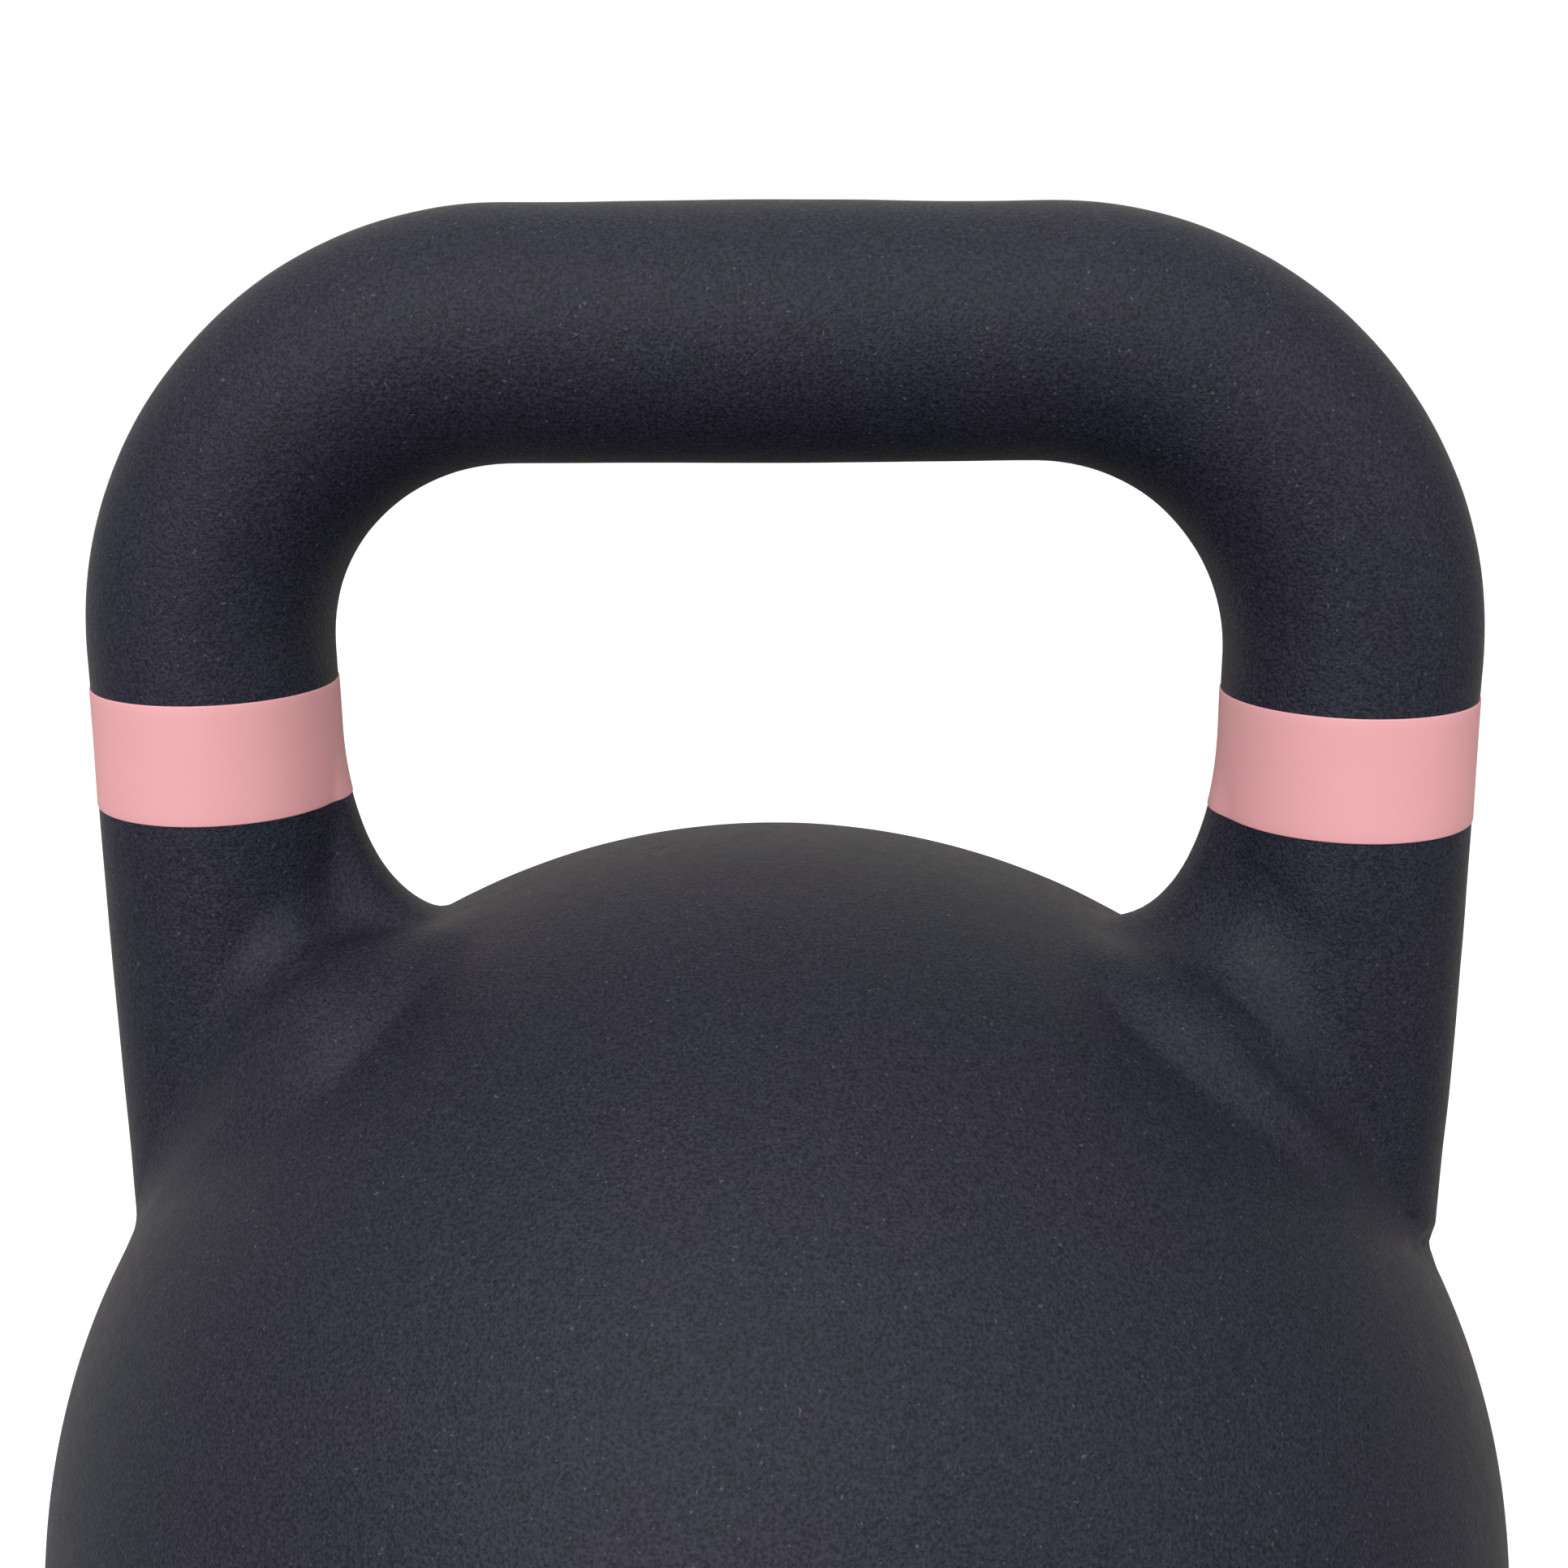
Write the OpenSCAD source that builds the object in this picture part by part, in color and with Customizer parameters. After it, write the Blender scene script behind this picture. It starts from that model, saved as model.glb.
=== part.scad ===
// Competition-size kettlebell: a hollow ball and handle cast in one piece,
// with a colour band on each horn and a threaded plug in the core hole of the base.
// Origin: centre of the flat base, on the surface it stands on. +Z up, grip bar along X.

/* [Bell] */
// Outer radius of the ball
bell_r = 105; // [100:0.5:115]
// Height of the ball's centre above the flat base
bell_z = 87.7; // [84:0.1:92]
// Thickness of the hollow ball's wall
wall = 5.25; // [3.5:0.05:9]
// Thickness of the floor above the flat base
floor_t = 6; // [5:0.25:12]
// Chamfer on the rim of the flat base
base_chamfer = 1; // [0.5:0.1:2]

/* [Handle] */
// Diameter of the grip bar and of the horns
grip_d = 33.7; // [32:0.1:36]
// Distance between the centre lines of the two horns
horn_pitch = 155.2; // [150:0.2:160]
// Height of the grip bar's centre line above the base
grip_z = 263.2; // [255:0.1:275]
// Radius of the bend's centre line at each upper corner
bend_r = 43; // [36:0.5:50]

/* [Horn feet] */
// Lean of each foot's axis from vertical, measured at the ball's centre
foot_lean = 36.5; // [34:0.5:40]
// Radius of the foot's waist, where the flare begins
foot_waist_r = 17.2; // [17:0.1:19]
// Radius of the foot's footprint on the ball
foot_r = 31; // [28:0.5:36]
// Height of the waist above the footprint
foot_h = 14; // [11:0.5:18]
// Length of the round neck from the waist up into the horn
foot_neck = 12; // [11:0.5:16]

/* [Colour bands] */
// Height of each band's lower edge above the base
band_z = 199.9; // [190:0.1:203]
// Height of each band
band_h = 16.4; // [10:0.1:20]
// Thickness of each band, let into a shallow seat so that it lies flush
band_t = 0.6; // [0.4:0.1:1]

/* [Core hole plug] */
// Diameter of the plug's shank and of the core hole
plug_d = 24; // [16:0.5:30]
// Diameter of the plug's head
head_d = 34; // [30:0.5:38]
// Thickness of the plug's head
head_t = 4; // [3:0.25:5]
// Depth of the head below the base
head_sink = 1.2; // [0.6:0.1:2]
// Across flats of the hexagonal drive socket
hex_af = 12; // [8:0.5:14]
// Depth of the drive socket
hex_depth = 7; // [4:0.5:9]
// Outer diameter of the boss round the core hole, inside the ball
boss_d = 46; // [42:0.5:54]
// Height of that boss above the base
boss_h = 16; // [13:0.5:22]

/* [Hidden] */
$fn = 128;

coat = [0.16, 0.16, 0.19];
band_col = [0.91, 0.66, 0.67];
zinc = [0.62, 0.63, 0.65];
seal_col = [0.09, 0.09, 0.09];

grip_r = grip_d / 2;
horn_x = horn_pitch / 2;
bend_x = horn_x - bend_r;
bend_z = grip_z - bend_r;
cavity_r = bell_r - wall;
// radius of the flat base where the ball is cut off
base_r = sqrt(bell_r * bell_r - bell_z * bell_z);
// radius of the ball at the top of the rim chamfer
rim_r = sqrt(bell_r * bell_r - (bell_z - base_chamfer) * (bell_z - base_chamfer));
// height of the footprint circle above the ball's centre, along the foot's axis
foot_a = sqrt(bell_r * bell_r - foot_r * foot_r);
flare_w = foot_r - foot_waist_r;
flare_rho = (flare_w * flare_w + foot_h * foot_h) / (2 * flare_w);
neck_top_r = grip_r - 0.85;
seal_t = 1.6;
seal_id = plug_d + 0.6;
seal_od = head_d - 1.4;
head_z = head_sink;
seal_z = head_z + head_t;
// the head's pocket has clearance all round
pocket_d = head_d + 1;
plug_top = boss_h - 1;

// ball and flat base, solid
module ball() {
    difference() {
        translate([0, 0, bell_z]) sphere(r = bell_r);
        translate([0, 0, -40]) cylinder(r = bell_r, h = 40);
        // rim chamfer
        difference() {
            translate([0, 0, -1]) cylinder(r = bell_r, h = base_chamfer + 1);
            translate([0, 0, -1]) cylinder(r = base_r - 0.6, h = 3 + base_chamfer);
            rotate_extrude()
                polygon([[0, 0], [base_r - base_chamfer * 0.8, 0], [rim_r + 0.02, base_chamfer], [rim_r + 0.02, base_chamfer + 2], [0, base_chamfer + 2]]);
        }
    }
}

// one upper corner of the handle: a quarter of a ring
module bend() {
    translate([bend_x, 0, bend_z])
        rotate([90, 0, 0])
            rotate_extrude(angle = 90)
                translate([bend_r, 0]) circle(r = grip_r);
}

// one vertical horn, running down into the ball
module horn() {
    translate([horn_x, 0, bell_z + 28]) cylinder(r = grip_r, h = bend_z - bell_z - 28);
}

// one foot: a hollow-sided flare and a short neck on an axis through the ball's centre.
// The hollow is an arc that leaves the waist along the axis and runs out onto the ball;
// the neck tapers a little, so that it ends inside the horn below the colour band.
module foot() {
    translate([0, 0, bell_z])
        rotate([0, foot_lean, 0])
            rotate_extrude()
                difference() {
                    polygon([
                        [0, foot_a - 18],
                        [foot_r - 6, foot_a - 18],
                        [foot_r, foot_a - 1.5],
                        [foot_r, foot_a + foot_h],
                        [foot_waist_r, foot_a + foot_h],
                        [neck_top_r, foot_a + foot_h + foot_neck],
                        [0, foot_a + foot_h + foot_neck]
                    ]);
                    translate([foot_waist_r + flare_rho, foot_a + foot_h]) circle(r = flare_rho);
                }
}

// everything solid about the handle on the +X side
module half_handle() {
    bend();
    horn();
    foot();
    rotate([0, 90, 0]) translate([-grip_z, 0, 0]) cylinder(r = grip_r, h = bend_x);
}

module hollow() {
    difference() {
        translate([0, 0, bell_z]) sphere(r = cavity_r);
        // floor
        translate([0, 0, -40]) cylinder(r = bell_r, h = 40 + floor_t);
        // boss round the core hole
        cylinder(d = boss_d, h = boss_h);
    }
}

// seat for a band, cut into the horn
module band_seat(side) {
    translate([side * horn_x, 0, band_z])
        difference() {
            cylinder(r = grip_r + 2, h = band_h);
            translate([0, 0, -1]) cylinder(r = grip_r - band_t, h = band_h + 2);
        }
}

module body_casting() {
    color(coat)
        difference() {
            union() {
                ball();
                half_handle();
                mirror([1, 0, 0]) half_handle();
            }
            hollow();
            band_seat(1);
            band_seat(-1);
            // core hole with its seat for the plug's head
            translate([0, 0, -1]) cylinder(d = plug_d, h = boss_h + 3);
            translate([0, 0, -1]) cylinder(d = pocket_d, h = 1 + seal_z + seal_t);
        }
}

// a thin ring round one horn
module band(side) {
    translate([side * horn_x, 0, band_z])
        difference() {
            cylinder(r = grip_r, h = band_h);
            translate([0, 0, -1]) cylinder(r = grip_r - band_t, h = band_h + 2);
        }
}

module left_colour_band() { color(band_col) band(-1); }

module right_colour_band() { color(band_col) band(1); }

module core_plug() {
    color(zinc)
        difference() {
            union() {
                translate([0, 0, head_z]) cylinder(d = head_d, h = head_t);
                translate([0, 0, head_z + head_t]) cylinder(d = plug_d, h = plug_top - head_z - head_t);
            }
            translate([0, 0, head_z - 1]) cylinder(d = hex_af / cos(30), h = hex_depth + 1, $fn = 6);
        }
}

module plug_seal() {
    color(seal_col)
        translate([0, 0, seal_z])
            difference() {
                cylinder(d = seal_od, h = seal_t);
                translate([0, 0, -1]) cylinder(d = seal_id, h = seal_t + 2);
            }
}

body_casting();
left_colour_band();
right_colour_band();
core_plug();
plug_seal();
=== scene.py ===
import math

import bpy
import bmesh
import numpy as np
from mathutils import Matrix, Vector


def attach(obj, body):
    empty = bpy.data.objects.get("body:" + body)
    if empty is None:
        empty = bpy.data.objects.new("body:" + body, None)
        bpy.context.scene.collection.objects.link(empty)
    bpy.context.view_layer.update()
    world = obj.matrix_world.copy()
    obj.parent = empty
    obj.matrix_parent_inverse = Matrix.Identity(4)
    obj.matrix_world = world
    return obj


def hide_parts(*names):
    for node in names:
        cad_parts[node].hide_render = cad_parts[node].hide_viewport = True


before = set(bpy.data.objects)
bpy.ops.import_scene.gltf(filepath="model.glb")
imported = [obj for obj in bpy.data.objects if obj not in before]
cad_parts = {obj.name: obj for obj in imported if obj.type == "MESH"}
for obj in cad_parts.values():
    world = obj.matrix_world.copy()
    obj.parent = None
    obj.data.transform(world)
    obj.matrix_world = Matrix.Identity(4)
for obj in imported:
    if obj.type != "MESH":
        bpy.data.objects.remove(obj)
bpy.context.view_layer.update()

MM = 0.001
BALL_R, BALL_Z = 105.0, 87.7
GRIP_R, HORN_X, BEND_R = 16.85, 77.35, 43.0
BEND_Z, BEND_X = 132.5, 34.35  # above the ball's centre
HORN_END = 28.0  # where the horns stop inside the ball
CAVITY_R, FLOOR_T = 99.75, 6.0
BAND_LO, BAND_HI = 199.9, 216.3


# ---------------------------------------------------------------- the casting's outer form
def waves(seed, count, short, long):
    """A fixed set of plane waves whose sum is a smooth, irregular field of unit RMS."""
    rng = np.random.RandomState(seed)
    d = rng.normal(size=(count, 3))
    d /= np.linalg.norm(d, axis=1)[:, None]
    lam = np.exp(rng.uniform(math.log(short), math.log(long), count))
    return d * (2 * math.pi / lam)[:, None], rng.uniform(0, 2 * math.pi, count), math.sqrt(2.0 / count)


WAVES_LONG = waves(11, 18, 38.0, 90.0)
WAVES_SHORT = waves(23, 26, 9.0, 24.0)


def field(p, w):
    k, ph, s = w
    out = np.zeros(len(p))
    for kk, pp in zip(k, ph):
        out += np.sin(p @ kk + pp)
    return out * s


def handle_distance(x, y, z):
    """Distance to the round bar of the handle; z is above the ball's centre."""
    ax = np.abs(x)
    dz = z - BEND_Z
    up = np.where(ax > BEND_X, np.abs(np.hypot(ax - BEND_X, dz) - BEND_R), np.abs(dz - BEND_R))
    low = np.hypot(ax - HORN_X, np.minimum(z - HORN_END, 0.0))
    low = np.where(ax < BEND_X, np.minimum(low, BEND_R - dz), low)
    return np.hypot(np.where(dz > 0, up, low), y) - GRIP_R


class Round:
    """A smooth curve through (azimuth, value) pairs round a horn, without overshoot.

    Azimuth 0 looks from the horn towards the middle, +90 to the front, -90 to the back.
    """

    def __init__(self, *pairs):
        self.x = np.array([p[0] for p in pairs], float)
        self.y = np.array([p[1] for p in pairs], float)
        d = np.diff(self.y) / np.diff(self.x)
        m = np.gradient(self.y, self.x)
        for i in range(len(m)):
            near = d[max(i - 1, 0) : i + 1]
            if len(near) == 2 and near[0] * near[1] <= 0:
                m[i] = 0.0
            else:
                m[i] = np.clip(m[i], -3 * np.abs(near).min(), 3 * np.abs(near).min())
        self.m = m

    def __call__(self, a):
        x, y, m = self.x, self.y, self.m
        i = np.clip(np.searchsorted(x, a) - 1, 0, len(x) - 2)
        h = x[i + 1] - x[i]
        t = np.clip((a - x[i]) / h, 0.0, 1.0)
        return (1 + 2 * t) * (1 - t) ** 2 * y[i] + t * (1 - t) ** 2 * h * m[i] + t * t * (3 - 2 * t) * y[i + 1] + t * t * (t - 1) * h * m[i + 1]


# Each foot is a skirt on the ball that ends in a crease, `reach` from the horn's surface. It
# rises by `lip` just inside the crease and by `slope` from there on; an elliptical fillet,
# `up` the horn and `out` over the skirt, joins it to the horn.
FEET = {
    -1: dict(
        reach=Round((-180, 0.2), (-130, 1.5), (-90, 5), (-55, 7), (-23, 9), (-5, 15), (12, 21), (20, 22.4), (37, 22.4), (46, 23.4), (55, 24), (63, 22), (70, 19.3), (77, 16), (90, 10.5), (110, 5.5), (140, 1.6), (180, 0.2)),
        slope=Round((-180, 0.1), (-130, 0.3), (-60, 0.28), (0, 0.24), (12, 0.25), (28, 0.27), (46, 0.3), (65, 0.3), (90, 0.3), (120, 0.33), (150, 0.2), (180, 0.1)),
        lip=Round((-180, 0), (0, 0), (10, 0.2), (26, 1.8), (40, 3.6), (65, 4.4), (80, 3.4), (100, 1.0), (130, 0), (180, 0)),
        up=Round((-180, 0.5), (-130, 4), (-90, 10), (-45, 22), (-10, 28.5), (5, 25), (22, 10), (46, 6.5), (72, 6), (90, 6), (110, 5), (135, 2), (180, 0.4)),
        out=Round((-180, 0.4), (-130, 2), (-90, 5), (-45, 12), (-10, 17), (5, 16), (22, 8), (46, 5.5), (72, 5.5), (90, 5), (110, 3.2), (140, 1.2), (180, 0.3)),
    ),
    1: dict(
        reach=Round((-180, 0.2), (-130, 1), (-90, 4), (-55, 9), (-30, 12.1), (0, 18.6), (29, 22.2), (42, 21.6), (49, 20.4), (58, 18.2), (68, 14.8), (78, 11.8), (89, 8.1), (103, 4), (140, 0.9), (180, 0.2)),
        slope=Round((-180, 0.1), (-130, 0.3), (-60, 0.28), (0, 0.2), (12, 0.21), (29, 0.22), (47, 0.24), (77, 0.28), (103, 0.3), (140, 0.2), (180, 0.1)),
        lip=Round((-180, 0), (0, 0), (10, 0.3), (26, 2.2), (42, 4.0), (65, 4.4), (80, 3.0), (103, 0.6), (130, 0), (180, 0)),
        up=Round((-180, 0.4), (-130, 3), (-90, 9), (-45, 22), (-10, 29), (5, 27), (27, 15), (47, 11), (77, 8), (103, 4), (135, 1.5), (180, 0.3)),
        out=Round((-180, 0.3), (-130, 1.5), (-90, 4), (-45, 12), (-10, 17), (5, 16), (27, 11), (47, 8.5), (77, 6), (103, 3), (135, 1.0), (180, 0.2)),
    ),
}

# the handle isn't quite true: places (x, z) where its outline stands proud or falls short
UNEVEN = (
    (-98, 30, 0.2), (-94, 55, -0.24), (-94, 130, -0.37), (-90, 155, -0.22), (-77, 175, -0.26), (-57, 188, -0.21), (-28, 192, -0.3),
    (-57, 146, -0.29), (-43, 157, 0.2), (94, 55, -0.5), (94, 130, -0.39), (77, 175, 0.1), (28, 192, -0.44), (60, 130, 0.24),
    (43, 157, -0.45), (22, 159, -0.26), (50, 94, -0.16), (-25, 102, 0.1), (25, 102, -0.13),
)
UNEVEN_WIDTH = 11.0


def foot_distance(x, y, a, b, foot):
    """Skirt and fillet of one foot, from the distances to the ball and to the horn."""
    az = np.degrees(np.arctan2(-y, HORN_X - np.abs(x)))
    up, out, reach, slope = foot["up"](az), foot["out"](az), foot["reach"](az), foot["slope"](az)
    edge = np.minimum(0.8, 0.2 * reach + 0.1)
    t = edge * np.logaddexp(0.0, (reach - b) / edge)
    fade = np.exp(-t / 5.0)
    a = a - slope * t - foot["lip"](az) * (1 - fade)
    skirt = a / np.sqrt(1 + (slope + foot["lip"](az) / 5.0 * fade) ** 2)
    u = np.clip(1 - a / up, 0.0, None)
    v = np.clip(1 - b / out, 0.0, None)
    q = np.maximum(np.hypot(u, v), 1e-6)
    g = np.sqrt((u / up) ** 2 + (v / out) ** 2) / q
    fillet = np.where((u > 0) & (v > 0), (1 - q) / np.maximum(g, 1e-6), 1e3)
    return np.minimum(skirt, fillet)


def casting_distance(p):
    """Signed distance field of the casting's outside, p in row-frame millimetres."""
    x, y, z = p[:, 0], p[:, 1], p[:, 2] - BALL_Z
    a = np.sqrt(x * x + y * y + z * z) - BALL_R
    b = handle_distance(x, y, z)
    f = np.minimum(a, b)
    near = np.flatnonzero((a < 45) & (b < 60) & (a > -12) & (z > 10) & (z < 130))
    for side in (-1, 1):
        i = near[(x[near] < 0) == (side < 0)]
        if len(i):
            f[i] = np.minimum(f[i], foot_distance(x[i], y[i], a[i], b[i], FEET[side]))
    # unevenness of the outline, and of the surface under the coat
    for ux, uz, h in UNEVEN:
        d2 = (x - ux) ** 2 + (z - uz) ** 2
        f = f - h * np.exp(-d2 / (2 * UNEVEN_WIDTH ** 2))
    n_long = field(p, WAVES_LONG)
    n_short = field(p, WAVES_SHORT)
    near_foot = np.exp(-((np.clip(a, 0, 60) / 22.0) ** 2)) * np.exp(-((b / 20.0) ** 2))
    rough = 0.03 * n_long + (0.012 + 0.02 * near_foot) * n_short
    f = f + 0.03 - np.clip(rough, -0.2, 0.1)
    # keep the fullest parts of the ball within its nominal diameter
    full = np.clip((np.maximum(np.abs(x), np.abs(y)) / BALL_R - 0.985) / 0.015, 0.0, 1.0)
    f = f + 0.1 * full * full * (3 - 2 * full) * (z < 40)
    f = f + marks(p)
    # flat base with a rounded rim
    rr = 2.0
    g = -p[:, 2]
    return np.minimum(-rr, np.maximum(f, g)) + np.hypot(np.maximum(rr + f, 0.0), np.maximum(rr + g, 0.0))


def segment_distance(p, ends):
    """Distance from points to a polyline, and how far along it they are (0 to 1)."""
    best = np.full(len(p), 1e9)
    along = np.zeros(len(p))
    ends = np.array(ends, float)
    total = np.linalg.norm(np.diff(ends, axis=0), axis=1).sum()
    run = 0.0
    for s, e in zip(ends, ends[1:]):
        d = e - s
        ln = np.linalg.norm(d)
        t = np.clip(((p - s) @ d) / (ln * ln), 0, 1)
        r = np.linalg.norm(p - s - t[:, None] * d, axis=1)
        m = r < best
        best = np.where(m, r, best)
        along = np.where(m, (run + t * ln) / total, along)
        run += ln
    return best, along


# cast and handling marks: polyline on the surface, depth (negative stands proud), half width
MARKS = (
    # the long groove beside the right foot's crease, and the proud strip below it
    (((62.0, -19.3, 176.8), (66.0, -20.3, 173.4), (70.3, -20.6, 169.1), (74.9, -19.8, 164.1), (79.0, -17.5, 159.8), (82.0, -15.5, 156.0)), 0.7, 3.2),
    (((61.2, -20.9, 175.9), (65.2, -21.9, 172.5), (69.5, -22.2, 168.2), (74.1, -21.4, 163.2), (78.2, -19.1, 158.9)), 0.3, 1.0),
    (((58.0, -22.9, 175.9), (60.0, -23.4, 174.4), (64.0, -24.4, 171.0), (68.3, -24.7, 166.7), (72.9, -23.9, 161.7), (77.0, -21.6, 157.4), (81.0, -19.5, 152.5)), -0.4, 2.6),
    (((59.2, -17.0, 180.4), (63.3, -18.5, 177.7), (67.6, -19.5, 173.9)), 0.22, 0.9),
    (((65.7, -14.7, 183.6), (69.9, -16.0, 180.2), (75.3, -16.6, 175.2)), 0.16, 0.8),
    (((62.7, -12.9, 186.3), (67.8, -15.2, 182.7)), 0.14, 0.7),
    (((68.6, -14.3, 189.1), (73.7, -16.4, 185.3), (78.0, -16.8, 181.2)), 0.16, 0.9),
    (((65.6, -12.1, 192.2), (70.5, -15.4, 189.5), (74.6, -16.6, 186.1)), 0.14, 0.7),
    (((62.7, -9.2, 195.2), (68.4, -14.2, 192.4)), 0.14, 0.7),
    (((72.0, -18.6, 171.6), (76.7, -17.5, 166.7)), 0.18, 0.7),
    (((85.1, -15.6, 148.3), (86.9, -13.8, 146.9), (88.9, -11.6, 145.6)), 0.5, 0.6),
    (((89.5, -11.0, 142.6), (91.2, -7.0, 139.9), (92.5, -4.2, 138.1), (95.5, -2.0, 136.2)), 0.85, 1.7),
    # scores along the left foot
    (((-75.6, -23.7, 162.7), (-69.7, -27.4, 167.8), (-65.0, -28.9, 171.7)), 0.38, 0.8),
    (((-70.4, -23.6, 171.6), (-64.9, -25.5, 175.7)), 0.26, 0.8),
    (((-68.1, -27.0, 170.5), (-65.7, -27.8, 172.2)), 0.6, 0.7),
    (((-65.6, -22.4, 178.7), (-60.2, -21.4, 182.4)), 0.24, 0.8),
    (((-70.6, -30.9, 162.1), (-66.7, -32.5, 165.2)), 0.24, 0.8),
    (((-62.3, -29.1, 174.0), (-56.4, -28.3, 178.3)), 0.2, 0.8),
    (((-75.7, -26.2, 159.8), (-72.3, -28.5, 162.7)), 0.36, 0.8),
    (((-63.2, -18.4, 184.7), (-57.7, -13.3, 187.9)), 0.12, 0.8),
    # a pit on the dome and a nick on the bar
    (((-17.7, 7.3, 190.9), (-17.0, 4.9, 191.2)), 0.3, 0.6),
    (((-33.5, -16.7, 264.7), (-31.9, -16.5, 265.7)), 0.12, 0.7),
)


EYE = np.array((20.1, -279.78, 277.45))  # where the marks were read from


def marks(p):
    """Depth of the marks at points p: each runs straight in along its line of sight."""
    out = np.zeros(len(p))
    sight = p - EYE
    depth_of = np.linalg.norm(sight, axis=1)
    for ends, depth, width in MARKS:
        e = np.array(ends, float)
        far = np.linalg.norm(e - EYE, axis=1).mean()
        lo, hi = e.min(0) - 4 * width - 4, e.max(0) + 4 * width + 4
        i = np.flatnonzero(((p > lo) & (p < hi)).all(1))
        if len(i):
            flat = EYE + (e - EYE) * (far / np.linalg.norm(e - EYE, axis=1))[:, None]
            r, t = segment_distance(EYE + sight[i] * (far / depth_of[i])[:, None], flat)
            ease = np.clip(4 * t, 0, 1) * np.clip(4 * (1 - t), 0, 1) if len(ends) > 2 else 1.0
            out[i] += depth * ease * np.exp(-((r / width) ** 2))
    return out


def gradient(fn, p, e=0.04):
    g = np.empty_like(p)
    for i in range(3):
        d = np.zeros(3)
        d[i] = e
        g[:, i] = (fn(p + d) - fn(p - d)) / (2 * e)
    return g


def settle(fn, p, steps=3):
    """Moves points onto the surface fn = 0."""
    for _ in range(steps):
        f = fn(p)
        g = gradient(fn, p)
        n2 = np.maximum((g * g).sum(1), 0.05)
        step = -(f / n2)[:, None] * g
        ln = np.linalg.norm(step, axis=1)
        step *= np.minimum(1.0, 1.5 / np.maximum(ln, 1e-9))[:, None]
        p = p + step
    return p


def surface_net(fn, lo, hi, h):
    """Vertices and quads of the surface fn = 0 in a box, with outward faces."""
    n = [int(math.ceil((hi[i] - lo[i]) / h)) + 1 for i in range(3)]
    ax = [lo[i] + h * np.arange(n[i]) for i in range(3)]
    # coarse blocks first, then the points of every block that the surface may cross
    B = 8
    nb = [int(math.ceil(m / B)) for m in n]
    mid = [lo[i] + h * (B * np.arange(nb[i]) + 0.5 * (B - 1)) for i in range(3)]
    gx, gy, gz = np.meshgrid(*mid, indexing="ij")
    coarse = fn(np.stack([gx.ravel(), gy.ravel(), gz.ravel()], 1)).reshape(nb)
    F = np.repeat(np.repeat(np.repeat(coarse, B, 0), B, 1), B, 2)[: n[0], : n[1], : n[2]].astype(np.float32)
    blocks = np.argwhere(np.abs(coarse) < 1.15 * h * B)
    o = np.stack(np.meshgrid(*[np.arange(B)] * 3, indexing="ij"), -1).reshape(-1, 3)
    for k in range(0, len(blocks), 400):
        g = (blocks[k : k + 400, None, :] * B + o[None]).reshape(-1, 3)
        g = g[(g < np.array(n)).all(1)]
        F[tuple(g.T)] = fn(np.array(lo) + h * g)
    S = F < 0
    corners = [(i, j, k) for i in (0, 1) for j in (0, 1) for k in (0, 1)]

    def sub(A, c):
        return A[c[0] : n[0] - 1 + c[0], c[1] : n[1] - 1 + c[1], c[2] : n[2] - 1 + c[2]]

    count = np.zeros([m - 1 for m in n], np.uint8)
    for c in corners:
        count += sub(S, c)
    active = (count > 0) & (count < 8)
    cells = np.argwhere(active)
    index = np.full(active.shape, -1, np.int32)
    index[active] = np.arange(len(cells))
    vals = {c: F[cells[:, 0] + c[0], cells[:, 1] + c[1], cells[:, 2] + c[2]] for c in corners}
    acc = np.zeros((len(cells), 3))
    hits = np.zeros(len(cells))
    for c in corners:
        for d in range(3):
            if c[d] == 0:
                e = list(c)
                e[d] = 1
                f0, f1 = vals[c], vals[tuple(e)]
                m = (f0 < 0) != (f1 < 0)
                t = np.where(m, f0 / np.where(m, f0 - f1, 1.0), 0.0)
                pt = np.tile(np.array(c, float), (len(cells), 1))
                pt[:, d] = t
                acc[m] += pt[m]
                hits[m] += 1
    verts = np.array(lo) + h * (cells + acc / hits[:, None])
    quads = []
    for d in range(3):
        a1, a2 = (d + 1) % 3, (d + 2) % 3
        s0 = np.take(S, np.arange(n[d] - 1), axis=d)
        s1 = np.take(S, np.arange(1, n[d]), axis=d)
        e = np.argwhere(s0 != s1)
        ok = (e[:, a1] > 0) & (e[:, a2] > 0) & (e[:, a1] < n[a1] - 1) & (e[:, a2] < n[a2] - 1)
        e = e[ok]
        inside0 = s0[tuple(e.T)]
        q = []
        for o1, o2 in ((-1, -1), (0, -1), (0, 0), (-1, 0)):
            c = e.copy()
            c[:, a1] += o1
            c[:, a2] += o2
            q.append(index[tuple(c.T)])
        q = np.stack(q, 1)
        q[~inside0] = q[~inside0][:, ::-1]
        quads.append(q)
    return verts, np.concatenate(quads)


def relax(fn, verts, quads, rounds, keep):
    """Evens the quads out over the surface without changing its shape."""
    a = np.concatenate([quads[:, i] for i in range(4)])
    b = np.concatenate([quads[:, (i + 1) % 4] for i in range(4)])
    a, b = np.concatenate([a, b]), np.concatenate([b, a])
    deg = np.bincount(a, minlength=len(verts)).astype(float)
    for _ in range(rounds):
        mean = np.stack([np.bincount(a, weights=verts[b, i], minlength=len(verts)) for i in range(3)], 1) / deg[:, None]
        verts = np.where(keep[:, None], verts, verts + 0.6 * (mean - verts))
        verts = settle(fn, verts, 1)
    return settle(fn, verts, 2)


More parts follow.
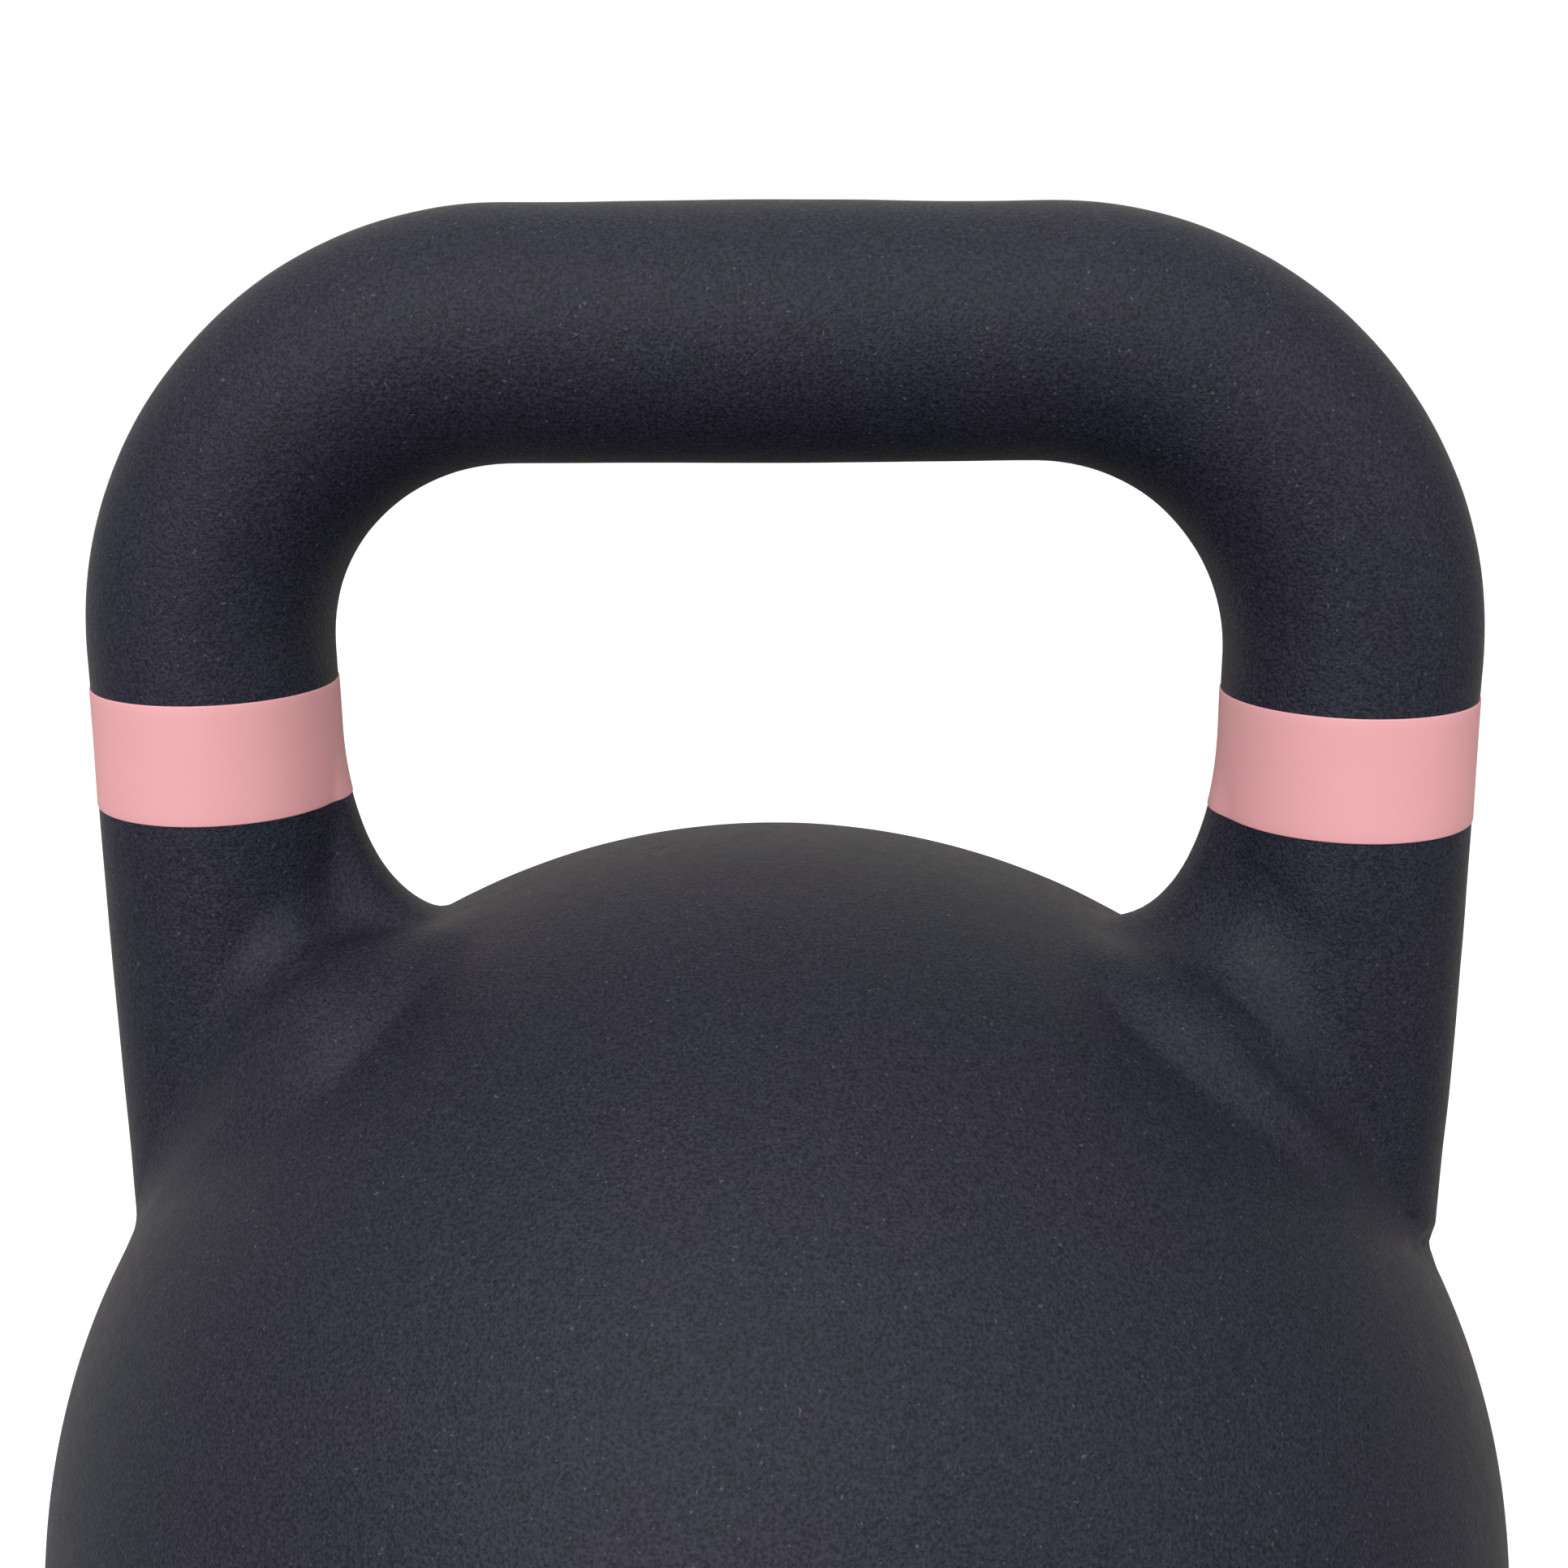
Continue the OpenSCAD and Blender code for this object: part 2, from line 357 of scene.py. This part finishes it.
# ---------------------------------------------------------------- mesh helpers
def mesh_object(name, verts_mm, faces, smooth=True, sharp=None):
    me = bpy.data.meshes.new(name)
    me.from_pydata((np.asarray(verts_mm) * MM).tolist(), [], [list(map(int, f)) for f in faces])
    me.validate()
    me.update()
    ob = bpy.data.objects.new(name, me)
    bpy.context.scene.collection.objects.link(ob)
    me.polygons.foreach_set("use_smooth", [smooth] * len(me.polygons))
    if sharp is not None:
        me.set_sharp_from_angle(angle=math.radians(sharp))
    return ob


def lathe(profile, segments):
    """A closed solid of revolution about Z from a profile that starts and ends on the axis."""
    verts, faces, rings = [], [], []
    for r, z in profile:
        if r < 1e-9:
            rings.append([len(verts)])
            verts.append((0.0, 0.0, z))
        else:
            ring = []
            for i in range(segments):
                a = 2 * math.pi * i / segments
                ring.append(len(verts))
                verts.append((r * math.cos(a), r * math.sin(a), z))
            rings.append(ring)
    for r0, r1 in zip(rings, rings[1:]):
        for i in range(segments):
            j = (i + 1) % segments
            if len(r0) == 1:
                faces.append((r0[0], r1[j], r1[i]))
            elif len(r1) == 1:
                faces.append((r0[i], r0[j], r1[0]))
            else:
                faces.append((r0[i], r0[j], r1[j], r1[i]))
    return np.array(verts), faces


def ring_lathe(profile, segments, centre=(0.0, 0.0)):
    """A closed ring from a closed profile that doesn't touch the axis."""
    verts, faces = [], []
    m = len(profile)
    for i in range(segments):
        a = 2 * math.pi * i / segments
        for r, z in profile:
            verts.append((centre[0] + r * math.cos(a), centre[1] + r * math.sin(a), z))
    for i in range(segments):
        j = (i + 1) % segments
        for k in range(m):
            l = (k + 1) % m
            faces.append((i * m + k, j * m + k, j * m + l, i * m + l))
    return np.array(verts), faces


# ---------------------------------------------------------------- camera
CAM_RIGHT = (0.99784634, 0.06545411, -0.00429514)
CAM_UP = (-0.01278243, 0.25825691, 0.96599171)
CAM_FWD = (-0.06433738, 0.96385638, -0.25853738)
cam_data = bpy.data.cameras.new("camera")
cam_data.sensor_width = 36.0
cam_data.sensor_fit = "HORIZONTAL"
cam_data.lens = 48.447
cam_data.clip_start = 0.01
cam_data.clip_end = 30.0
camera = bpy.data.objects.new("camera", cam_data)
bpy.context.scene.collection.objects.link(camera)
rot = Matrix((CAM_RIGHT, CAM_UP, tuple(-c for c in CAM_FWD))).transposed()
camera.matrix_world = Matrix.Translation((0.0201, -0.27978, 0.27745)) @ rot.to_4x4()
bpy.context.scene.camera = camera


# ---------------------------------------------------------------- materials
def new_material(name):
    m = bpy.data.materials.new(name)
    m.use_nodes = True
    nt = m.node_tree
    for n in list(nt.nodes):
        nt.nodes.remove(n)
    out = nt.nodes.new("ShaderNodeOutputMaterial")
    bsdf = nt.nodes.new("ShaderNodeBsdfPrincipled")
    nt.links.new(bsdf.outputs["BSDF"], out.inputs["Surface"])
    return m, nt, bsdf


def noise(nt, coord, scale, detail=3.0, rough=0.55, distortion=0.0):
    n = nt.nodes.new("ShaderNodeTexNoise")
    n.inputs["Scale"].default_value = scale
    n.inputs["Detail"].default_value = detail
    n.inputs["Roughness"].default_value = rough
    n.inputs["Distortion"].default_value = distortion
    nt.links.new(coord, n.inputs["Vector"])
    return n.outputs["Fac"]


def ramp(nt, fac, stops):
    r = nt.nodes.new("ShaderNodeValToRGB")
    el = r.color_ramp.elements
    while len(el) < len(stops):
        el.new(0.5)
    for e, (pos, col) in zip(el, stops):
        e.position = pos
        e.color = (*col, 1.0) if len(col) == 3 else col
    nt.links.new(fac, r.inputs["Fac"])
    return r.outputs["Color"]


def map_range(nt, fac, a, b, c, d):
    m = nt.nodes.new("ShaderNodeMapRange")
    for k, v in zip(("From Min", "From Max", "To Min", "To Max"), (a, b, c, d)):
        m.inputs[k].default_value = v
    nt.links.new(fac, m.inputs["Value"])
    return m.outputs["Result"]


def math_node(nt, op, a, b):
    m = nt.nodes.new("ShaderNodeMath")
    m.operation = op
    for s, v in zip(m.inputs, (a, b)):
        if isinstance(v, (int, float)):
            s.default_value = v
        else:
            nt.links.new(v, s)
    return m.outputs[0]


def mix_colour(nt, fac, a, b, blend="MIX"):
    m = nt.nodes.new("ShaderNodeMix")
    m.data_type = "RGBA"
    m.blend_type = blend
    for key, v in ((0, fac), (6, a), (7, b)):
        s = m.inputs[key]
        if isinstance(v, (int, float)):
            s.default_value = v
        elif isinstance(v, tuple):
            s.default_value = (*v, 1.0)
        else:
            nt.links.new(v, s)
    return m.outputs[2]


def bump(nt, height, strength, distance, normal=None):
    b = nt.nodes.new("ShaderNodeBump")
    b.inputs["Strength"].default_value = strength
    b.inputs["Distance"].default_value = distance
    nt.links.new(height, b.inputs["Height"])
    if normal is not None:
        nt.links.new(normal, b.inputs["Normal"])
    return b.outputs["Normal"]


def object_coord(nt):
    return nt.nodes.new("ShaderNodeTexCoord").outputs["Object"]


COAT_BASE = (0.0163, 0.0171, 0.0283)
COAT_ROUGH = 0.37


def coat_material():
    """Matt black powder coat: a fine orange-peel grain, faint violet and slate patches, and small pale specks of
    painted glint.
    """
    m, nt, bsdf = new_material("powder_coat")
    co = object_coord(nt)
    patch = noise(nt, co, 24.0, 4.0, 0.6, 0.3)
    mid = noise(nt, co, 420.0, 2.0, 0.6)
    grain = noise(nt, co, 2300.0, 2.0, 0.65)
    violet = tuple(c * k for c, k in zip(COAT_BASE, (1.09, 0.97, 1.03)))
    slate = tuple(c * k for c, k in zip(COAT_BASE, (0.90, 1.02, 0.985)))
    c1 = ramp(nt, patch, [(0.44, slate), (0.54, violet)])
    c2 = ramp(nt, mid, [(0.3, (0.93, 0.93, 0.93)), (0.7, (1.07, 1.07, 1.07))])
    col = mix_colour(nt, 1.0, c1, c2, "MULTIPLY")
    c3 = ramp(nt, grain, [(0.34, (0.45, 0.45, 0.45)), (0.66, (1.7, 1.7, 1.7))])
    col = mix_colour(nt, 1.0, col, c3, "MULTIPLY")
    # small pale specks mixed into the colour are painted glints: the grain's highlights painted in as colour
    painted_glints = ramp(nt, noise(nt, co, 1900.0, 0.0, 0.5), [(0.80, (0.0, 0.0, 0.0)), (0.83, (1.0, 1.0, 1.0))])
    col = mix_colour(nt, math_node(nt, "MULTIPLY", painted_glints, 0.5), col, (0.12, 0.118, 0.115))
    nt.links.new(col, bsdf.inputs["Base Color"])
    nt.links.new(map_range(nt, mid, 0.3, 0.7, COAT_ROUGH - 0.03, COAT_ROUGH + 0.05), bsdf.inputs["Roughness"])
    bsdf.inputs["Specular IOR Level"].default_value = 0.18
    n1 = bump(nt, mid, 0.12, 0.0004)
    n2 = bump(nt, grain, 0.8, 0.00026, n1)
    nt.links.new(n2, bsdf.inputs["Normal"])
    return m


def band_material():
    m, nt, bsdf = new_material("pink_enamel")
    co = object_coord(nt)
    big = noise(nt, co, 60.0, 2.0, 0.5)
    fine = noise(nt, co, 900.0, 2.0, 0.5)
    col = ramp(nt, big, [(0.3, (0.82, 0.385, 0.405)), (0.7, (0.85, 0.405, 0.425))])
    nt.links.new(col, bsdf.inputs["Base Color"])
    nt.links.new(map_range(nt, fine, 0.3, 0.7, 0.46, 0.56), bsdf.inputs["Roughness"])
    nt.links.new(bump(nt, fine, 0.12, 0.0002), bsdf.inputs["Normal"])
    return m


def steel_material():
    m, nt, bsdf = new_material("zinc_plated_steel")
    co = object_coord(nt)
    big = noise(nt, co, 140.0, 4.0, 0.6)
    fine = noise(nt, co, 1600.0, 2.0, 0.6)
    col = ramp(nt, big, [(0.3, (0.50, 0.50, 0.49)), (0.7, (0.62, 0.62, 0.60))])
    nt.links.new(col, bsdf.inputs["Base Color"])
    bsdf.inputs["Metallic"].default_value = 0.92
    nt.links.new(map_range(nt, big, 0.3, 0.7, 0.28, 0.42), bsdf.inputs["Roughness"])
    nt.links.new(bump(nt, fine, 0.15, 0.0001), bsdf.inputs["Normal"])
    return m


def rubber_material():
    m, nt, bsdf = new_material("seal_rubber")
    co = object_coord(nt)
    fine = noise(nt, co, 1200.0, 3.0, 0.6)
    col = ramp(nt, fine, [(0.3, (0.012, 0.012, 0.012)), (0.7, (0.022, 0.022, 0.022))])
    nt.links.new(col, bsdf.inputs["Base Color"])
    nt.links.new(map_range(nt, fine, 0.3, 0.7, 0.7, 0.85), bsdf.inputs["Roughness"])
    nt.links.new(bump(nt, fine, 0.2, 0.0002), bsdf.inputs["Normal"])
    return m


def floor_material():
    m, nt, bsdf = new_material("studio_floor")
    co = object_coord(nt)
    big = noise(nt, co, 3.0, 2.0, 0.5)
    col = ramp(nt, big, [(0.3, (0.86, 0.86, 0.86)), (0.7, (0.88, 0.88, 0.88))])
    nt.links.new(col, bsdf.inputs["Base Color"])
    bsdf.inputs["Roughness"].default_value = 0.85
    bsdf.inputs["Emission Color"].default_value = (1.0, 1.0, 1.0, 1.0)
    bsdf.inputs["Emission Strength"].default_value = 0.55
    return m


# ---------------------------------------------------------------- the casting
def build_casting():
    h = 1.4
    verts, quads = surface_net(casting_distance, (-107.2, -107.2, -2.3), (107.2, 107.2, 282.0), h)
    verts = settle(casting_distance, verts, 3)
    verts = relax(casting_distance, verts, quads, 3, verts[:, 2] < 4.0)
    outer = mesh_object("casting_coated", verts, quads)
    # twice as fine over the fronts of the feet, where the creases and scores are
    bm = bmesh.new()
    bm.from_mesh(outer.data)
    fine = set()
    for vert in bm.verts:
        x, y, z = vert.co / MM
        if 30.0 < abs(x) < 98.0 and y < 4.0 and 140.0 < z < 198.0:
            fine.add(vert.index)
    edges = [e for e in bm.edges if e.verts[0].index in fine and e.verts[1].index in fine]
    bmesh.ops.subdivide_edges(bm, edges=edges, cuts=1, use_grid_fill=True)
    co = np.array([vert.co for vert in bm.verts]) / MM
    co = settle(casting_distance, co, 2)
    for vert, c in zip(bm.verts, co):
        vert.co = c * MM
    bm.to_mesh(outer.data)
    bm.free()
    # the core: seat for the plug's head, core hole, boss and hollow, as one solid of revolution
    prof = [(0.0, -2.0), (18.1, -2.0), (18.1, 0.0), (17.5, 0.6), (17.5, 6.8), (12.05, 6.8), (12.05, 16.0), (22.2, 16.0), (23.0, 15.2), (23.0, 8.0), (23.6, 6.6), (25.0, 6.0)]
    r_floor = math.sqrt(CAVITY_R ** 2 - (BALL_Z - FLOOR_T) ** 2)
    for r in (32.0, 40.0, 48.0, r_floor - 1.0):
        prof.append((r, FLOOR_T))
    a0 = math.atan2(FLOOR_T + 0.6 - BALL_Z, math.sqrt(CAVITY_R ** 2 - (BALL_Z - FLOOR_T - 0.6) ** 2))
    for i in range(60):
        a = a0 + (math.pi / 2 - a0) * i / 60.0
        prof.append((CAVITY_R * math.cos(a), BALL_Z + CAVITY_R * math.sin(a)))
    prof.append((0.0, BALL_Z + CAVITY_R))
    cv, cf = lathe(prof, 128)
    core = mesh_object("core_tool", cv, cf)
    bm = bmesh.new()
    bm.from_mesh(core.data)
    bmesh.ops.recalc_face_normals(bm, faces=bm.faces)
    bm.to_mesh(core.data)
    bm.free()
    mod = outer.modifiers.new("core", "BOOLEAN")
    mod.operation = "DIFFERENCE"
    mod.solver = "EXACT"
    mod.object = core
    bpy.context.view_layer.update()
    deps = bpy.context.evaluated_depsgraph_get()
    me = bpy.data.meshes.new_from_object(outer.evaluated_get(deps))
    me.name = "casting_coated"
    for vert in me.vertices:
        if vert.co.z < 0.0:
            vert.co.z = 0.0
    bm = bmesh.new()
    bm.from_mesh(me)
    bmesh.ops.dissolve_degenerate(bm, dist=2e-6, edges=bm.edges)
    bm.to_mesh(me)
    bm.free()
    outer.modifiers.clear()
    outer.data = me
    bpy.data.objects.remove(core)
    me.polygons.foreach_set("use_smooth", [True] * len(me.polygons))
    me.set_sharp_from_angle(angle=math.radians(38))
    return outer


# ---------------------------------------------------------------- the colour bands
def build_band(name, side):
    """A thin film round the horn that follows the casting's surface, with rounded edges."""
    seg, lift, sunk, edge = 192, 0.16, -0.35, 0.18
    cx = side * HORN_X
    lo, hi = BAND_LO, BAND_HI
    # (height, offset from the casting's surface), once round the section
    prof = [(lo + edge - edge * math.cos(a), lift * math.sin(a)) for a in np.linspace(0, math.pi / 2, 5)]
    prof += [(z, lift) for z in np.linspace(lo + edge, hi - edge, 14)[1:-1]]
    prof += [(hi - edge + edge * math.sin(a), lift * math.cos(a)) for a in np.linspace(0, math.pi / 2, 5)]
    prof += [(hi, sunk)] + [(z, sunk) for z in np.linspace(hi, lo, 6)[1:-1]] + [(lo, sunk)]
    m = len(prof)
    ang = 2 * np.pi * np.arange(seg) / seg
    verts = np.zeros((seg, m, 3))
    dirs = np.stack([np.cos(ang), np.sin(ang), np.zeros(seg)], 1)
    for k, (z, off) in enumerate(prof):
        lo_r, hi_r = np.full(seg, 10.0), np.full(seg, 26.0)
        base = np.array([cx, 0.0, z])
        for _ in range(26):
            mid = 0.5 * (lo_r + hi_r)
            inside = casting_distance(base + dirs * mid[:, None]) < 0
            lo_r = np.where(inside, mid, lo_r)
            hi_r = np.where(inside, hi_r, mid)
        verts[:, k] = base + dirs * (0.5 * (lo_r + hi_r) + off)[:, None]
    faces = []
    for i in range(seg):
        j = (i + 1) % seg
        for k in range(m):
            l = (k + 1) % m
            faces.append((i * m + k, j * m + k, j * m + l, i * m + l))
    return mesh_object(name, verts.reshape(-1, 3), faces, True, 50)


# ---------------------------------------------------------------- the plug and its seal
def build_plug():
    """Head with a bevelled hexagon socket, and a shank with a real helical thread."""
    seg = 144
    z0, head_r, head_t, top = 1.2, 17.0, 4.0, 15.0
    verts, faces = [], []

    def ring(fn):
        start = len(verts)
        for i in range(seg):
            a = 2 * math.pi * i / seg
            r, z = fn(a)
            verts.append((r * math.cos(a), r * math.sin(a), z))
        return start

    def join(r0, r1):
        for i in range(seg):
            j = (i + 1) % seg
            faces.append((r0 + i, r0 + j, r1 + j, r1 + i))

    def hexagon(a, inradius):
        w = (a + math.pi / 6) % (math.pi / 3) - math.pi / 6
        return inradius / math.cos(w)

    # socket, from its floor outwards and down to the head's face (which looks down)
    c = len(verts)
    verts.append((0.0, 0.0, 9.6))
    rings = [
        ring(lambda a: (2.2, 8.9)),
        ring(lambda a: (5.2, 8.2)),
        ring(lambda a: (hexagon(a, 6.0) - 0.15, 8.2)),
        ring(lambda a: (hexagon(a, 6.0), 8.0)),
        ring(lambda a: (hexagon(a, 6.0), z0 + 0.9)),
        ring(lambda a: (max(hexagon(a, 6.0), 6.55), z0 + 0.25)),
        ring(lambda a: (7.25, z0 + 0.02)),
        ring(lambda a: (7.5, z0)),
        ring(lambda a: (11.0, z0)),
        ring(lambda a: (head_r - 0.9, z0)),
        ring(lambda a: (head_r - 0.5, z0 + 0.08)),
        ring(lambda a: (head_r - 0.08, z0 + 0.5)),
        ring(lambda a: (head_r, z0 + 0.9)),
        ring(lambda a: (head_r, z0 + head_t - 0.4)),
        ring(lambda a: (head_r - 0.3, z0 + head_t)),
        ring(lambda a: (12.6, z0 + head_t)),
        ring(lambda a: (11.2, z0 + head_t)),
    ]
    for i in range(seg):
        faces.append((c, rings[0] + (i + 1) % seg, rings[0] + i))
    for r0, r1 in zip(rings, rings[1:]):
        join(r0, r1)
    # thread of 1.5 mm pitch
    prev = rings[-1]
    zs = np.linspace(z0 + head_t, top - 0.8, 60)
    for z in zs[1:]:
        fade = min(1.0, (z - zs[0]) / 1.2, (zs[-1] - z) / 0.8 + 0.05)

        def shank(a, z=z, fade=fade):
            ph = (z / 1.5 - a / (2 * math.pi)) % 1.0
            saw = 1.0 - abs(2 * ph - 1.0)
            return 11.15 + 0.85 * fade * min(1.0, max(0.0, 1.25 * saw - 0.1)), z

        nxt = ring(shank)
        join(prev, nxt)
        prev = nxt
    end1 = ring(lambda a: (10.6, top - 0.15))
    join(prev, end1)
    end2 = ring(lambda a: (10.0, top))
    join(end1, end2)
    cc = len(verts)
    verts.append((0.0, 0.0, top))
    for i in range(seg):
        faces.append((end2 + i, end2 + (i + 1) % seg, cc))
    ob = mesh_object("core_plug_turned", verts, faces, True, 32)
    bm = bmesh.new()
    bm.from_mesh(ob.data)
    bmesh.ops.recalc_face_normals(bm, faces=bm.faces)
    bm.to_mesh(ob.data)
    bm.free()
    ob.data.polygons.foreach_set("use_smooth", [True] * len(ob.data.polygons))
    ob.data.set_sharp_from_angle(angle=math.radians(32))
    return ob


def build_seal():
    lo, hi, ri, ro = 5.2, 6.8, 12.3, 16.3
    prof = []
    for cx, cz, a0 in ((ro - 0.5, lo + 0.5, -90), (ro - 0.5, hi - 0.5, 0), (ri + 0.5, hi - 0.5, 90), (ri + 0.5, lo + 0.5, 180)):
        for i in range(5):
            a = math.radians(a0 + 90 * i / 4)
            prof.append((cx + 0.5 * math.cos(a), cz + 0.5 * math.sin(a)))
    v, f = ring_lathe(prof, 128)
    return mesh_object("plug_seal_ring", v, f, True, 60)


casting = build_casting()
band_l = build_band("band_left_film", -1)
band_r = build_band("band_right_film", 1)
plug = build_plug()
seal = build_seal()

coat, pink, steel, rubber = coat_material(), band_material(), steel_material(), rubber_material()
for ob, mat, node, slot in (
    (casting, coat, "body_casting", "coated_casting"),
    (band_l, pink, "left_colour_band", "colour_band"),
    (band_r, pink, "right_colour_band", "colour_band"),
    (plug, steel, "core_plug", "plug_steel"),
    (seal, rubber, "plug_seal", "seal_rubber"),
):
    ob.data.materials.clear()
    ob.data.materials.append(mat)
    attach(ob, "root")
    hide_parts(node)

# ---------------------------------------------------------------- stage and light
fv, ff = [], []
rings_r = [0.0, 200.0, 500.0, 1200.0, 3000.0, 6000.0]
seg = 96
fv.append((0.0, 0.0, 0.0))
for r in rings_r[1:]:
    for i in range(seg):
        a = 2 * math.pi * i / seg
        fv.append((r * math.cos(a), r * math.sin(a), 0.0))
for i in range(seg):
    ff.append((0, 1 + i, 1 + (i + 1) % seg))
for k in range(len(rings_r) - 2):
    for i in range(seg):
        a, b = 1 + k * seg + i, 1 + k * seg + (i + 1) % seg
        ff.append((a, a + seg, b + seg, b))
floor = mesh_object("studio_floor", fv, ff)
floor.location.z = -0.0002
floor.data.materials.append(floor_material())
floor.visible_diffuse = False
floor.visible_glossy = False

# The camera sees a plain white surround. The object is lit by a dimmer room: a paler wall
# behind it, a ceiling, and less from the front and from below.
world = bpy.data.worlds.new("studio")
bpy.context.scene.world = world
world.use_nodes = True
wt = world.node_tree
white = wt.nodes["Background"]
white.inputs["Color"].default_value = (1.0, 1.0, 1.0, 1.0)
white.inputs["Strength"].default_value = 1.0
axes = wt.nodes.new("ShaderNodeSeparateXYZ")
wt.links.new(wt.nodes.new("ShaderNodeTexCoord").outputs["Generated"], axes.inputs[0])


def lobe(axis, sign, level):
    part = math_node(wt, "MAXIMUM", math_node(wt, "MULTIPLY", axes.outputs[axis], float(sign)), 0.0)
    return math_node(wt, "MULTIPLY", math_node(wt, "POWER", part, 2.0), level)


def background(colour, strength):
    n = wt.nodes.new("ShaderNodeBackground")
    n.inputs["Color"].default_value = (*colour, 1.0)
    wt.links.new(strength, n.inputs["Strength"])
    return n


total = None
for axis, sign, level in ((0, 1, 0.22), (0, -1, 0.40), (1, -1, 0.46), (2, 1, 0.86), (2, -1, 0.26)):
    part = lobe(axis, sign, level)
    total = part if total is None else math_node(wt, "ADD", total, part)
room = background((1.0, 1.0, 1.0), total)
# the wall behind is warm, and darker low in the middle, behind the handle's window
off = math_node(wt, "ABSOLUTE", math_node(wt, "ADD", axes.outputs[0], 0.05), 0.0)
open_side = map_range(wt, off, 0.24, 0.34, 0.0, 1.0)
open_top = map_range(wt, axes.outputs[2], -0.2, 0.02, 0.0, 1.0)
shade = map_range(wt, math_node(wt, "MAXIMUM", open_side, open_top), 0.0, 1.0, 0.25, 1.0)
wall = background((1.0, 0.92, 0.8), math_node(wt, "MULTIPLY", lobe(1, 1, 0.54), shade))
both = wt.nodes.new("ShaderNodeAddShader")
wt.links.new(room.outputs[0], both.inputs[0])
wt.links.new(wall.outputs[0], both.inputs[1])
seen = wt.nodes.new("ShaderNodeMixShader")
wt.links.new(wt.nodes.new("ShaderNodeLightPath").outputs["Is Camera Ray"], seen.inputs[0])
wt.links.new(both.outputs[0], seen.inputs[1])
wt.links.new(white.outputs[0], seen.inputs[2])
wt.links.new(seen.outputs[0], wt.nodes["World Output"].inputs["Surface"])


def area(name, az, el, dist, size, power, target=(0.0, 0.0, 0.15)):
    """A soft square light; azimuth 0 is in front of the object, positive to its right as seen."""
    a, e = math.radians(az), math.radians(el)
    t = Vector(target)
    pos = t + Vector((math.sin(a) * math.cos(e), -math.cos(a) * math.cos(e), math.sin(e))) * dist
    d = bpy.data.lights.new(name, "AREA")
    d.shape = "SQUARE"
    d.size = size
    d.energy = power
    ob = bpy.data.objects.new(name, d)
    ob.location = pos
    ob.rotation_euler = (t - pos).to_track_quat("-Z", "Y").to_euler()
    bpy.context.scene.collection.objects.link(ob)
    return ob


LIGHTS = [
    ("key_low_left", -18, 15, 1.6, 1.0, 8.6),
    ("key_high_left", -45, 40, 1.6, 1.0, 4.9),
    ("fill_right", 30, 40, 1.6, 1.0, 3.5),
    ("rim_right", 60, 15, 1.6, 1.0, 4.3),
    ("top", 0, 62, 1.6, 1.0, 4.7),
]
for spec in LIGHTS:
    area(*spec)

scene = bpy.context.scene
scene.view_settings.view_transform = "Standard"
scene.view_settings.look = "None"
scene.view_settings.exposure = 0.0
scene.view_settings.gamma = 1.0
